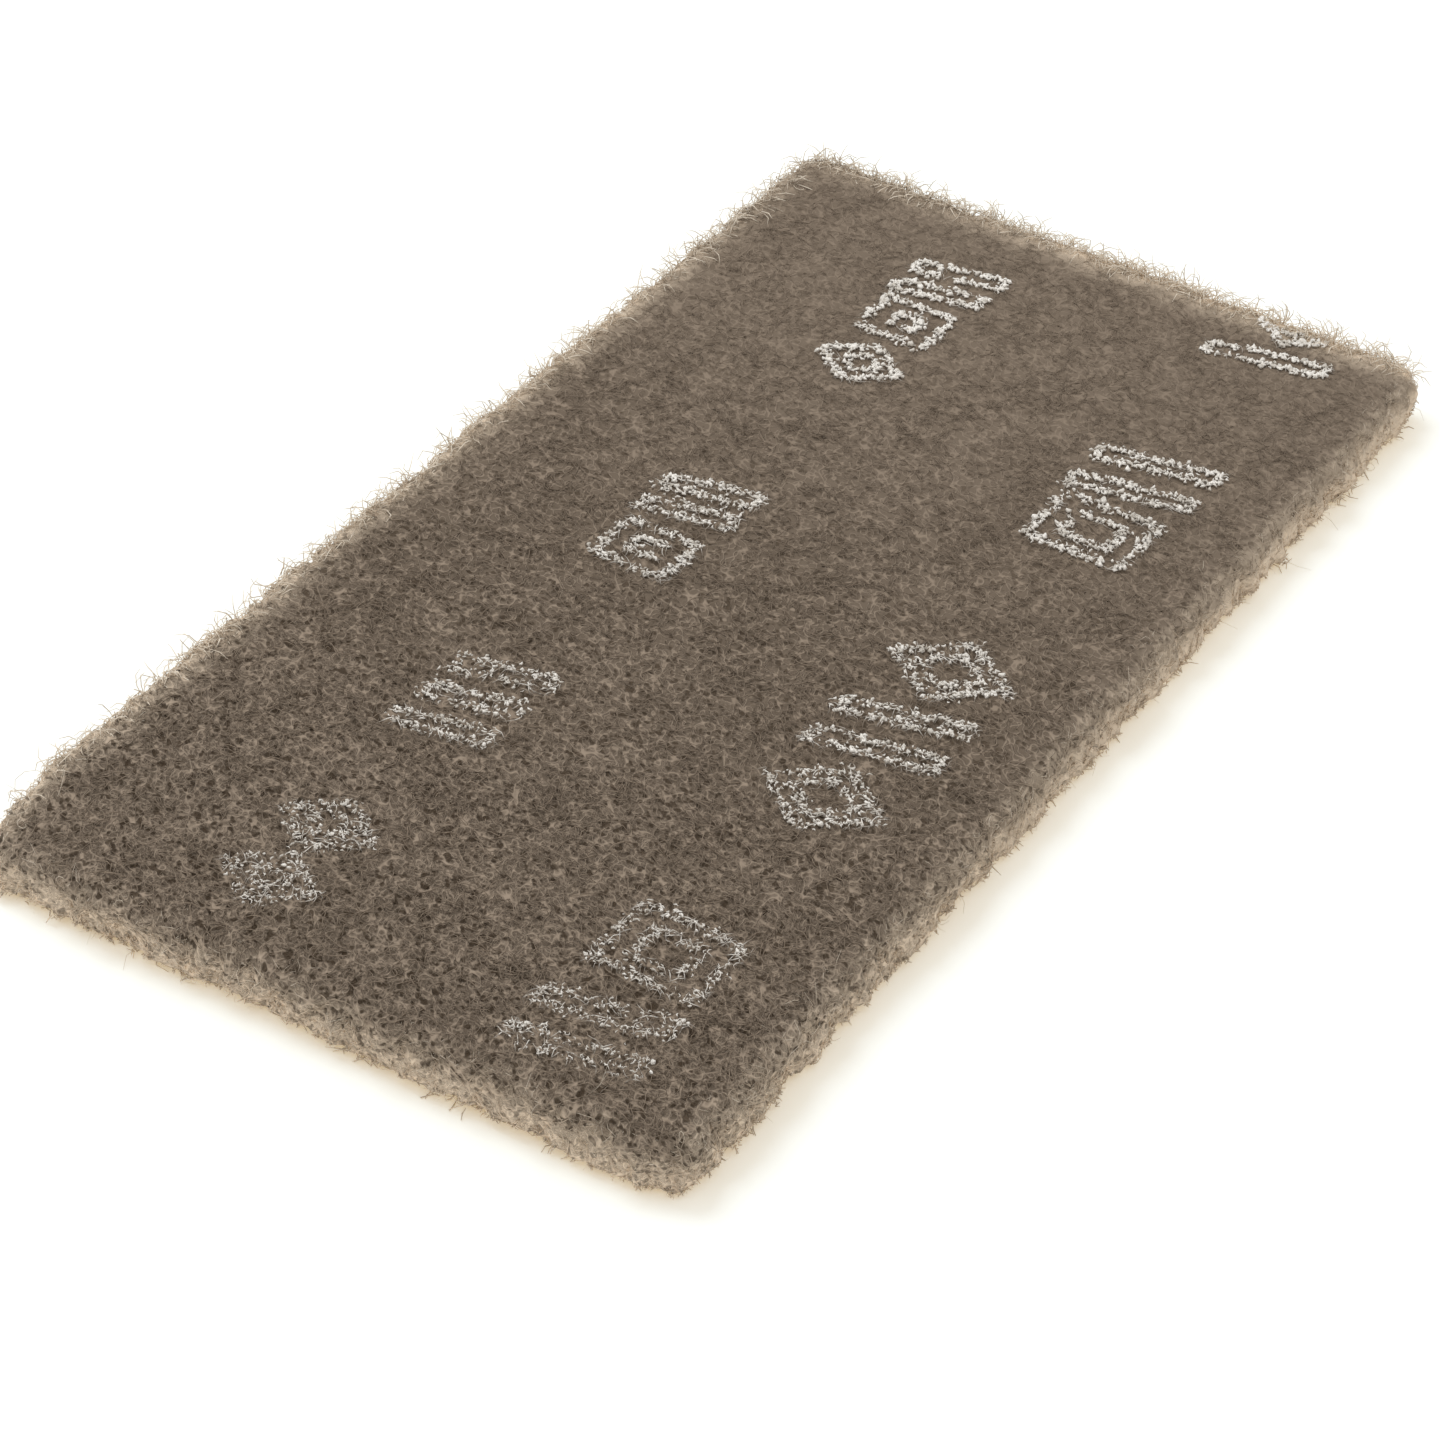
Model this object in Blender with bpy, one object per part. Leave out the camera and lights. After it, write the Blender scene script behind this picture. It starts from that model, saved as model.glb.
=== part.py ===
"""Non-woven abrasive hand pad: one die-cut piece of lofty fibre web, lying flat.

Run with: blender --background --python part.py
Lengths are in metres. +Z is up, and the origin is the centre of the underside.
"""

import math

import bmesh
import bpy
from mathutils import Vector, noise

# The cut blank
PAD_LENGTH = 0.230
PAD_WIDTH = 0.115
PAD_THICKNESS = 0.0095
CORNER_RADIUS = 0.0055

# The die squeezes the web as it cuts, so the skins roll over towards the cut wall
TOP_RIM_RADIUS = 0.0025
UNDER_RIM_RADIUS = 0.0014

# The blade wanders inwards as it tears through the fibres
CUT_WANDER = 0.0006
CUT_WANDER_PITCH = 0.014

# Fibre bundles stand up as ridges with hollows between them, on slow swells of the web
BUNDLE_PITCH = 0.0075
HOLLOW_DEPTH = 0.0009
SWELL_PITCH = 0.028
SWELL_DEPTH = 0.0004

# How finely the surface is divided
CELL = 0.0030
CORNER_CELLS = 2
TOP_RIM_STEPS = 3
UNDER_RIM_STEPS = 2
WALL_STEPS = 2

# Perlin noise lies mostly within this distance of zero
NOISE_REACH = 0.45

WEB_COLOUR = (0.162, 0.125, 0.095, 1.0)
WEB_ROUGHNESS = 0.95
SHARP_ANGLE = math.radians(60)

HALF_WIDTH = PAD_WIDTH / 2
HALF_LENGTH = PAD_LENGTH / 2


def clear_scene():
    for obj in list(bpy.data.objects):
        bpy.data.objects.remove(obj, do_unlink=True)


def web_material():
    material = bpy.data.materials.new("fibre_web")
    material.use_nodes = True
    shader = material.node_tree.nodes["Principled BSDF"]
    shader.inputs["Base Color"].default_value = WEB_COLOUR
    shader.inputs["Roughness"].default_value = WEB_ROUGHNESS
    shader.inputs["Metallic"].default_value = 0.0
    return material


def grid_lines(half_side, corner):
    """Cuts across one side of the top skin: closer in the rounded corners, even between them."""
    straight = half_side - corner
    count = max(2, round(2 * straight / CELL))
    middle = [straight * (2 * i / count - 1) for i in range(count + 1)]
    outer = [straight + corner * i / CORNER_CELLS for i in range(1, CORNER_CELLS + 1)]
    return [-line for line in reversed(outer)] + middle + outer


def pulled_to_arc(point, half_x, half_y, radius):
    """Moves a point of a square corner to its place under a round one."""
    across = max(0.0, abs(point.x) - (half_x - radius)) / radius
    along = max(0.0, abs(point.y) - (half_y - radius)) / radius
    if across == 0.0 or along == 0.0:
        return point.copy()
    x = half_x - radius + radius * across * math.sqrt(1 - along * along / 2)
    y = half_y - radius + radius * along * math.sqrt(1 - across * across / 2)
    return Vector((math.copysign(x, point.x), math.copysign(y, point.y), point.z))


def on_outline(point, inset, height):
    """The place beside point that lies inset from the cut outline, at height."""
    core_x = HALF_WIDTH - CORNER_RADIUS
    core_y = HALF_LENGTH - CORNER_RADIUS
    core = Vector((max(-core_x, min(core_x, point.x)), max(-core_y, min(core_y, point.y))))
    outward = (point.xy - core).normalized()
    place = core + outward * (CORNER_RADIUS - inset - blade_wander(core + outward * CORNER_RADIUS))
    return Vector((place.x, place.y, height))


def raised(value):
    """Perlin noise as a share from 0 to 1."""
    return max(0.0, min(1.0, 0.5 + 0.5 * value / NOISE_REACH))


def blade_wander(place):
    """How far the cut lies inside its nominal line, the same from top to bottom."""
    at = Vector((place.x, place.y, 0.0)) / CUT_WANDER_PITCH
    return CUT_WANDER * raised(noise.noise(at))


def hollow(point):
    """How far the web lies below its highest bundles at a point of the surface."""
    ridge = min(1.0, abs(noise.noise(point / BUNDLE_PITCH)) / NOISE_REACH)
    swell = raised(noise.noise(point / SWELL_PITCH))
    return HOLLOW_DEPTH * ridge + SWELL_DEPTH * swell


def wall_rings():
    """(inset, height) of each ring from the top rim, down the cut wall, to the underside."""
    top = [
        (TOP_RIM_RADIUS * (1 - math.sin(angle)), PAD_THICKNESS - TOP_RIM_RADIUS * (1 - math.cos(angle)))
        for angle in (math.pi / 2 * i / TOP_RIM_STEPS for i in range(1, TOP_RIM_STEPS + 1))
    ]
    wall_top = PAD_THICKNESS - TOP_RIM_RADIUS
    wall = [
        (0.0, wall_top + (UNDER_RIM_RADIUS - wall_top) * i / WALL_STEPS)
        for i in range(1, WALL_STEPS + 1)
    ]
    under = [
        (UNDER_RIM_RADIUS * (1 - math.cos(angle)), UNDER_RIM_RADIUS * (1 - math.sin(angle)))
        for angle in (math.pi / 2 * i / UNDER_RIM_STEPS for i in range(1, UNDER_RIM_STEPS + 1))
    ]
    return top + wall + under


def top_skin(mesh):
    """The flat of the top, inside its rolled rim, as a grid with rounded corners."""
    half_x = HALF_WIDTH - TOP_RIM_RADIUS
    half_y = HALF_LENGTH - TOP_RIM_RADIUS
    radius = CORNER_RADIUS - TOP_RIM_RADIUS
    lines_x = grid_lines(half_x, radius)
    lines_y = grid_lines(half_y, radius)
    rows = [
        [
            mesh.verts.new(pulled_to_arc(Vector((x, y, PAD_THICKNESS)), half_x, half_y, radius))
            for x in lines_x
        ]
        for y in lines_y
    ]
    for near, far in zip(rows, rows[1:]):
        for i in range(len(near) - 1):
            mesh.faces.new((near[i], near[i + 1], far[i + 1], far[i]))


def roll_down_wall(mesh):
    """Extrudes the skin's open edge ring by ring down to the underside, and closes it there."""
    edge = [e for e in mesh.edges if e.is_boundary]
    for inset, height in wall_rings():
        made = bmesh.ops.extrude_edge_only(mesh, edges=edge)["geom"]
        edge = [g for g in made if isinstance(g, bmesh.types.BMEdge)]
        for vertex in (g for g in made if isinstance(g, bmesh.types.BMVert)):
            vertex.co = on_outline(vertex.co, inset, height)
    bmesh.ops.contextual_create(mesh, geom=edge)
    bmesh.ops.recalc_face_normals(mesh, faces=mesh.faces)


def sink_hollows(mesh):
    """Sinks the web between its fibre bundles. The underside stays flat where it rests."""
    mesh.normal_update()
    moves = [
        (vertex, vertex.normal * hollow(vertex.co) * min(1.0, vertex.co.z / UNDER_RIM_RADIUS))
        for vertex in mesh.verts
    ]
    for vertex, move in moves:
        vertex.co -= move


def abrasive_pad():
    mesh = bmesh.new()
    top_skin(mesh)
    roll_down_wall(mesh)
    sink_hollows(mesh)
    data = bpy.data.meshes.new("abrasive_pad")
    mesh.to_mesh(data)
    mesh.free()
    data.shade_smooth()
    data.set_sharp_from_angle(angle=SHARP_ANGLE)
    data.materials.append(web_material())
    pad = bpy.data.objects.new("abrasive_pad", data)
    bpy.context.scene.collection.objects.link(pad)
    return pad


clear_scene()
abrasive_pad()
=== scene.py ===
"""Dresses the non-woven abrasive pad as what it is: an open web of curled, resin-coated fibres.

The pad's solid gives the size and place. A packed slab of web stands in for it, and thousands of
single fibres lie over its skins, break out of its cut walls and carry the stamped ink.
Lengths are in metres. +Z is up, +Y runs along the pad and +X across it.
"""

import math

import bpy
import numpy as np
from bpy.props import FloatProperty, FloatVectorProperty, IntProperty, PointerProperty
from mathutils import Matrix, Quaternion, Vector
from mathutils import noise as soft_noise
from mathutils.bvhtree import BVHTree
from mathutils.kdtree import KDTree


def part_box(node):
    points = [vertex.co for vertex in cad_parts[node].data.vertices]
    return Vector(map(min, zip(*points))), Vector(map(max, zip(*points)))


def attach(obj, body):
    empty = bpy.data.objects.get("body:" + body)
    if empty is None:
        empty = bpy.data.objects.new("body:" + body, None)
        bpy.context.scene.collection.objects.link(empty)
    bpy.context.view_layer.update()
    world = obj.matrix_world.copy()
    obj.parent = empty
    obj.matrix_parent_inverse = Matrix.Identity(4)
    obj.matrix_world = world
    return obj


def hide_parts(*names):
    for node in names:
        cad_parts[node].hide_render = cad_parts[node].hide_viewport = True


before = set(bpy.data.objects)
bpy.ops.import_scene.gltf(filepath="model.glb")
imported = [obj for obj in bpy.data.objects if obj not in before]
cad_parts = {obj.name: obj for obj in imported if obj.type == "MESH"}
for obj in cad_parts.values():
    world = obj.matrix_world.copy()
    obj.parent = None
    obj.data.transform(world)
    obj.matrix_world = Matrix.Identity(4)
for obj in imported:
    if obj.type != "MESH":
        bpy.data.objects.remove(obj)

bl_info = {
    "name": "Non-woven abrasive pad",
    "version": (1, 0, 0),
    "blender": (4, 5, 0),
    "location": "3D View > Sidebar > Abrasive Pad",
    "description": "Makes a hand pad of lofty fibre web, with cut edges and stamped marks",
    "category": "Add Mesh",
}

CAD_NODE = "abrasive_pad"
CAD_BODY = "root"
CAD_LOW, CAD_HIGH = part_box(CAD_NODE)
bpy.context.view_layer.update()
CAD_SIZE = CAD_HIGH - CAD_LOW

MM = 0.001

# Corners round a fibre, which is three-sided because thousands of them are drawn
FIBRE_SIDES = 3

# The name of the map laid over each fibre piece
BAKE_MAP = "OFBake"

# The direction that most of the web is laid in, from +X, and how much it outweighs the other one
LAY = math.radians(-42)
DRAWN_OUT = 2.2

# Level of the fibres' gloss, which the abrasive grain in their resin breaks up
DULL = 0.12

# How deep in the web a frayed end is rooted, and the shortest and the longest that one stands out
ROOT_DEPTH = 0.5 * MM
SHORTEST_END = 0.05 * MM
LONGEST_END = 4.5 * MM


def a_length(name, description, default):
    return FloatProperty(name=name, description=description, default=default, unit="LENGTH")


def in_mm(name, description, default):
    return a_length(name, description, default * MM)


def an_angle(name, description, degrees):
    return FloatProperty(
        name=name, description=description, default=math.radians(degrees), subtype="ANGLE"
    )


def a_place(name, description, *default):
    return FloatVectorProperty(
        name=name, description=description, default=default, subtype="TRANSLATION"
    )


def a_colour(name, description, *default):
    return FloatVectorProperty(
        name=name, description=description, default=default, subtype="COLOR", min=0, max=1
    )


def a_number(name, description, default, least=0):
    return IntProperty(name=name, description=description, default=default, min=least)


class PadWeb(bpy.types.PropertyGroup):
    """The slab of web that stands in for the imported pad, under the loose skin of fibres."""

    width: a_length("Width", "Across the cut blank", CAD_SIZE.x)
    length: a_length("Length", "Along the cut blank", CAD_SIZE.y)
    thickness: a_length("Thickness", "From skin to skin", CAD_SIZE.z)
    corner_radius: in_mm("Corner radius", "Of the die's corners", 4.5)
    worn_reach: in_mm("Worn reach", "How far the wear of the near left corner reaches", 20)
    worn_lean: in_mm("Worn lean", "How far the top of the worn corner leans in", 2.2)
    worn_sink: in_mm("Worn sink", "How far the top of the worn corner is pressed down", 2.8)
    top_rim: in_mm("Top rim", "Radius where the upper skin rolls into the cut", 1.7)
    under_rim: in_mm("Under rim", "Radius where the cut meets the underside", 0.5)
    loose_skin: in_mm("Loose skin", "Depth of the loose fibres over the packed web", 0.5)
    under_skin: in_mm("Under skin", "Depth of the pressed fibres below the packed web", 0.3)
    spring: in_mm("Spring", "How far the web springs out past the blade's line", 0.8)
    slack: in_mm("Slack", "How much further it springs out on the left and far sides", 0.5)
    cell: in_mm("Cell", "Size of the slab's faces", 1.6)
    rag_pitch: in_mm("Rag pitch", "Between the torn lumps of the cut walls", 2.4)
    rag_depth: in_mm("Rag depth", "How far the torn lumps stand out or lie back", 1.8)
    swell_pitch: in_mm("Swell pitch", "Between the slow swells of the web", 11)
    swell_depth: in_mm("Swell depth", "From crest to trough of a swell", 0.8)
    hollow_pitch: in_mm("Hollow pitch", "Between the hollows of the packed web", 2.8)
    hollow_depth: in_mm("Hollow depth", "From bundle to hollow", 0.5)


class PadFibres(bpy.types.PropertyGroup):
    """The single fibres over the slab."""

    thickness: in_mm("Thickness", "Of one coated fibre", 0.16)
    stride: in_mm("Stride", "Length of a fibre's straight parts", 0.8)
    strides: a_number("Strides", "Straight parts in a fibre", 12, 3)
    curl_radius: in_mm("Curl radius", "Usual radius of a fibre's curls", 1.6)
    crest: in_mm("Crest", "How high a fibre's loops stand over the packed web", 1.0)
    dive: in_mm("Dive", "How deep a fibre goes into the packed web", 0.5)
    skin_pieces: a_number("Skin pieces", "Pieces that the upper fibres are kept in", 3, 1)
    piece_triangles: a_number("Triangles on top", "Most in each of these pieces", 162000)
    wall_triangles: a_number("Triangles on the walls", "Most in the fibres of the walls", 55000)
    under_triangles: a_number("Triangles underneath", "Most in the underside's fibres", 26000)
    knots: a_number("Knots", "Short felted stubs that roughen the cut walls", 5000)
    foot: a_number("Foot", "Stubs along the foot of the cut", 3000)
    haze: a_number("Haze", "Short fine ends that soften the cut", 2700)
    far_haze: a_number("Far haze", "Curled ends over the left and the far rim", 4700)
    ends: a_number("Ends", "Bent fibre ends that the blade left", 2500)
    curls: a_number("Curls", "Longer ends that curl outside the cut", 300)
    fringe: in_mm("Fringe", "Usual length of the fibre ends outside the cut", 0.8)
    fringe_thickness: in_mm("Fringe thickness", "Of a bare fibre end", 0.09)
    seed: a_number("Seed", "Picks another scatter of the fibres", 7)


class PadPrint(bpy.types.PropertyGroup):
    """The two rows of marks stamped on the upper skin."""

    narrow_row: in_mm("Narrow row", "Middle of the narrow row across the pad", -17.7)
    narrow_height: in_mm("Narrow height", "Height of the marks in the narrow row", 14.6)
    wide_row: in_mm("Wide row", "Middle of the wide row across the pad", 35.3)
    wide_height: in_mm("Wide height", "Height of the marks in the wide row", 19.0)
    stroke: in_mm("Stroke", "Width of a mark's strokes", 3.2)
    curl_thickness: in_mm("Curl thickness", "Of an inked curl of fibre", 0.31)
    curl_radius: in_mm("Curl radius", "Of an inked curl of fibre", 0.42)
    curl_gap: in_mm("Curl gap", "Between inked curls along a mark's outline", 0.16)
    stray: in_mm("Stray", "How far the curls lie off a mark's outline", 0.45)
    seed: a_number("Seed", "Picks another scatter of the ink", 11)


class PadColours(bpy.types.PropertyGroup):
    """Colours of the fibres, the painted shade down between them, the cut walls and the ink."""

    fibre: a_colour("Fibre", "Coated fibre in the light", 0.338, 0.271, 0.210)
    # The darkest resin, and also the dark end of the painted shade of low and deep fibres
    fibre_dark: a_colour("Dark fibre", "Stretches with the most resin", 0.128, 0.100, 0.075)
    # Painted shade, down between the fibres and in the pits
    depth: a_colour("Depth", "Down between the fibres", 0.050, 0.033, 0.019)
    # Bare fibre, painted paler still for the light that the white floor throws up onto the cut
    cut: a_colour("Cut", "Bare fibre in the cut walls", 0.940, 0.790, 0.620)
    # Bare fibre ends, painted near white for the light that shines through them
    stray: a_colour("Stray", "Fibre ends outside the cut", 0.96, 0.87, 0.74)
    ink: a_colour("Ink", "Ink where it lies thick", 1.0, 0.975, 0.93)
    ink_thin: a_colour("Thin ink", "Ink where it has sunk in", 0.68, 0.64, 0.58)
    left_rim: in_mm("Left rim", "How far in over the -X rim the bare fibre shows", 7)
    right_rim: in_mm("Right rim", "How far in over the +X rim the bare fibre shows", 3.5)
    far_rim: in_mm("Far rim", "How far in over the +Y rim the bare fibre shows", 9)


class PadStage(bpy.types.PropertyGroup):
    """The camera, the lamp and the light from all round."""

    azimuth: an_angle("Azimuth", "Of the camera about the pad", 28.84)
    elevation: an_angle("Elevation", "Of the camera", 37.04)
    roll: an_angle("Roll", "Of the camera about its view", 4.26)
    distance: a_length("Distance", "From the camera to its target", 0.6809)
    target: a_place("Target", "Middle of the picture, on the floor", 7.8 * MM, -22.3 * MM, 0.0)
    lens: FloatProperty(
        name="Lens", description="Focal length in millimetres on a 36 mm sensor", default=115.2
    )
    key_power: FloatProperty(name="Key lamp", description="In watts", default=5.5)
    key_size: a_length("Key size", "Side of the lamp", 0.6)
    key_place: a_place("Key place", "Of the key lamp", -0.62, 0.11, 1.09)
    ambient: a_colour("Ambient", "Light from all round", 0.79, 0.77, 0.74)


def settings():
    """The groups that the materials take their sizes and colours from."""
    scene = bpy.context.scene
    return scene.pad_web, scene.pad_colours


def deselect_all():
    if bpy.context.mode != "OBJECT":
        bpy.ops.object.mode_set(mode="OBJECT")
    bpy.ops.object.select_all(action="DESELECT")


def apply_modifier(piece, kind, **values):
    """Adds a modifier with these values to the active piece and applies it."""
    modifier = piece.modifiers.new(kind.title(), kind)
    for name, value in values.items():
        setattr(modifier, name, value)
    bpy.ops.object.modifier_apply(modifier=modifier.name)


def on_pad(piece, material):
    """Gives a finished piece its material and its place on the pad's body."""
    piece.data.materials.clear()
    piece.data.materials.append(material)
    piece.data.shade_smooth()
    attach(piece, CAD_BODY)


# Shader nodes


def feed(tree, made, inputs):
    """Links a node's input where its value is a socket, and sets it where it is a number."""
    for name, value in inputs.items():
        if isinstance(value, bpy.types.NodeSocket):
            tree.links.new(value, made.inputs[name])
        else:
            made.inputs[name].default_value = value


def node(tree, kind, inputs=None, **values):
    """Adds a node with these inputs and values."""
    made = tree.nodes.new(kind)
    for name, value in values.items():
        setattr(made, name, value)
    feed(tree, made, inputs or {})
    return made


def maths(tree, operation, first, second=0.0, clamp=False):
    made = node(tree, "ShaderNodeMath", {0: first, 1: second}, operation=operation, use_clamp=clamp)
    return made.outputs["Value"]


def times(tree, first, second):
    return maths(tree, "MULTIPLY", first, second)


def plus(tree, first, second):
    return maths(tree, "ADD", first, second)


def remap(tree, value, low, high, to_low=0.0, to_high=1.0):
    """A smooth ramp of value from low to high, which may run either way."""
    made = node(
        tree,
        "ShaderNodeMapRange",
        {"Value": value, "From Min": low, "From Max": high, "To Min": to_low, "To Max": to_high},
        interpolation_type="SMOOTHSTEP",
    )
    return made.outputs["Result"]


def noise(tree, vector, pitch, detail=0.0, layer=0.0):
    """Noise with about pitch from lump to lump. layer picks another one of that pitch."""
    made = node(
        tree,
        "ShaderNodeTexNoise",
        {"Vector": vector, "W": layer, "Scale": 1.0 / pitch, "Detail": detail},
        noise_dimensions="4D",
    )
    return made.outputs["Fac"]


def opaque(colour):
    """A colour with its alpha. A socket stays as it is."""
    return colour if isinstance(colour, bpy.types.NodeSocket) else (*colour, 1.0)


def mix(tree, share, first, second):
    """Colour from first to second by share."""
    inputs = {0: share, 6: opaque(first), 7: opaque(second)}
    return node(tree, "ShaderNodeMix", inputs, data_type="RGBA").outputs[2]


def dimmed(colour, share):
    return [share * channel for channel in colour]


def object_place(tree):
    return node(tree, "ShaderNodeTexCoord").outputs["Object"]


def along_fibre(tree, name):
    """One of the looks that a fibre piece keeps at its points."""
    return node(tree, "ShaderNodeAttribute", attribute_name=name).outputs["Fac"]


def new_group(name, inputs, *outputs):
    """An empty node group with float sockets: inputs as {name: default} and outputs as names."""
    group = bpy.data.node_groups.new(name, "ShaderNodeTree")
    for label, default in inputs.items():
        socket = group.interface.new_socket(label, in_out="INPUT", socket_type="NodeSocketFloat")
        socket.default_value = default
    for label in outputs:
        group.interface.new_socket(label, in_out="OUTPUT", socket_type="NodeSocketFloat")
    return group, node(group, "NodeGroupInput").outputs, node(group, "NodeGroupOutput")


def tangle_group(inputs):
    """Crossing strands, drawn where a noise passes its middle: broad curls, fine ones, and pits.

    The fine ones and the pits stand out most at the near end. Each layer of strands has the gap
    between them in mm, their width as a share of the noise, and how bright they are.
    """
    broad = (1.7, 0.075, 1.0), (1.25, 0.080, 0.85)
    fine = (0.8, 0.10, 0.6), (0.5, 0.11, 0.5)
    pit_gap, between = 0.85 * MM, 0.4
    outputs = "Curls", "Strands", "Pits", "Nearness"
    group, given, result = new_group("Fibre Tangle", inputs, *outputs)
    place = object_place(group)
    turned = node(
        group, "ShaderNodeVectorRotate", {"Vector": place, "Angle": -LAY}, rotation_type="Z_AXIS"
    ).outputs["Vector"]
    along = maths(group, "DIVIDE", 1.0, given["Drawn"])
    drawn = node(group, "ShaderNodeCombineXYZ", {"X": along, "Y": 1.0, "Z": 1.0}).outputs["Vector"]
    at = node(group, "ShaderNodeVectorMath", {0: turned, 1: drawn}, operation="MULTIPLY")
    at = at.outputs["Vector"]

    def lines(layers, number):
        highest = 0.0
        for gap, width, height in layers:
            from_middle = maths(group, "SUBTRACT", noise(group, at, gap * MM, 0, number), 0.5)
            line = remap(group, maths(group, "ABSOLUTE", from_middle), width, 0.0)
            highest = maths(group, "MAXIMUM", highest, times(group, line, height))
            number += 1
        return highest

    y = node(group, "ShaderNodeSeparateXYZ", {"Vector": place}).outputs["Y"]
    share = maths(group, "DIVIDE", y, given["Half Length"])
    nearness = remap(group, share, -0.9, 0.3, 1.1, 0.05)
    bold = remap(group, share, -0.9, 0.9, 1.0, 0.3)
    curls = maths(group, "SUBTRACT", lines(broad, 0), between)
    curls = plus(group, times(group, curls, bold), between)
    strands = maths(group, "MAXIMUM", curls, times(group, lines(fine, 2), nearness))
    # Pits: small holes in the web, which the materials darken with painted shade
    pits = remap(group, noise(group, at, pit_gap, 1, 9.0), 0.47, 0.33)
    pits = times(group, pits, bold)
    feed(group, result, {"Curls": curls, "Strands": strands, "Pits": pits, "Nearness": nearness})
    return group


def cut_edge_group(sizes):
    """A mask of bare fibre and painted light: it rises to the foot of the cut walls, and fades in
    over the rims.

    Soft noise moves its edges by rag at most. Each rim has its reach and how bare it is.
    """
    rag, rag_gap, rim = 3.0 * MM, 2.2 * MM, 3.0 * MM
    group, given, result = new_group("Cut Edge", sizes, "Mask")
    place = object_place(group)
    x, y, z = node(group, "ShaderNodeSeparateXYZ", {"Vector": place}).outputs
    ragged = times(group, noise(group, place, rag_gap, 3, 4.0), 2 * rag)
    ragged = maths(group, "SUBTRACT", ragged, rag)
    left = plus(group, given["Half Width"], x)
    right = maths(group, "SUBTRACT", given["Half Width"], x)
    far = maths(group, "SUBTRACT", given["Half Length"], y)
    near = plus(group, given["Half Length"], y)
    from_corner = remap(group, plus(group, left, far), 10 * MM, 70 * MM, 0.5, 1.0)
    mask = 0.0
    inside = near
    for side, reach, bareness in ((left, "Left", 0.75), (far, "Far", 1.0), (right, "Right", 0.3)):
        share = maths(group, "DIVIDE", plus(group, side, ragged), given[reach])
        faded = maths(group, "POWER", maths(group, "SUBTRACT", 1.0, share, clamp=True), 2.4)
        mask = maths(group, "MAXIMUM", mask, times(group, faded, bareness))
        inside = maths(group, "MINIMUM", inside, side)
    mask = times(group, mask, from_corner)
    # Painted light on bare fibre: the walls grow paler towards the foot, as if lit from the floor
    high = maths(group, "DIVIDE", plus(group, z, ragged), given["Thickness"])
    # On the right wall the paleness reaches a little higher and is a little weaker
    high = maths(group, "SUBTRACT", high, remap(group, right, rim, 0.0, 0.0, 0.07))
    wall = remap(group, high, 1.02, 0.2)
    wall = times(group, wall, remap(group, right, rim, 0.0, 1.0, 0.86))
    wall = times(group, wall, remap(group, inside, rim, 1.0 * MM))
    feed(group, result, {"Mask": maths(group, "MAXIMUM", mask, wall, clamp=True)})
    return group


def group_node(tree, name, make, inputs):
    """Places a group that is built once and then found again."""
    group = bpy.data.node_groups.get(name) or make(inputs)
    return node(tree, "ShaderNodeGroup", inputs, node_tree=group).outputs


def tangle(tree, web):
    inputs = {"Drawn": 1.4, "Half Length": web.length / 2}
    return group_node(tree, "Fibre Tangle", tangle_group, inputs)


def cut_mask(tree, web, colours):
    sizes = {
        "Half Width": web.width / 2,
        "Half Length": web.length / 2,
        "Thickness": web.thickness,
        "Left": colours.left_rim,
        "Right": colours.right_rim,
        "Far": colours.far_rim,
    }
    return group_node(tree, "Cut Edge", cut_edge_group, sizes)["Mask"]


def new_material(name):
    """A material, its tree and its shader, with nothing else in it."""
    material = bpy.data.materials.new(name)
    material.use_nodes = True
    tree = material.node_tree
    return material, tree, tree.nodes["Principled BSDF"]


def packed_web():
    """Strands over painted shade in the depths and pits, paler where the web is cut."""
    web, colours = settings()
    material, tree, shader = new_material("packed_web")
    woven = tangle(tree, web)
    strands, pits = woven["Strands"], woven["Pits"]
    edge = cut_mask(tree, web, colours)
    lit = mix(tree, edge, colours.fibre, colours.cut)
    # Between the strands: dark resin with the painted shade of the deeper web
    packed = mix(tree, edge, colours.fibre_dark, dimmed(colours.cut, 0.75))
    colour = mix(tree, strands, packed, lit)
    # Painted shade in the pits, weaker on the cut
    pit_shade = times(tree, pits, remap(tree, edge, 0.0, 1.0, 0.85, 0.5))
    height = maths(tree, "SUBTRACT", strands, times(tree, pits, 0.8))
    bump = node(tree, "ShaderNodeBump", {"Strength": 0.9, "Distance": 0.35 * MM, "Height": height})
    feed(tree, shader, {
        "Base Color": mix(tree, pit_shade, colour, colours.depth),
        "Roughness": remap(tree, strands, 0.0, 1.0, 0.98, 0.72),
        "Normal": bump.outputs["Normal"],
        "Specular IOR Level": DULL,
    })
    return material


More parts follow.
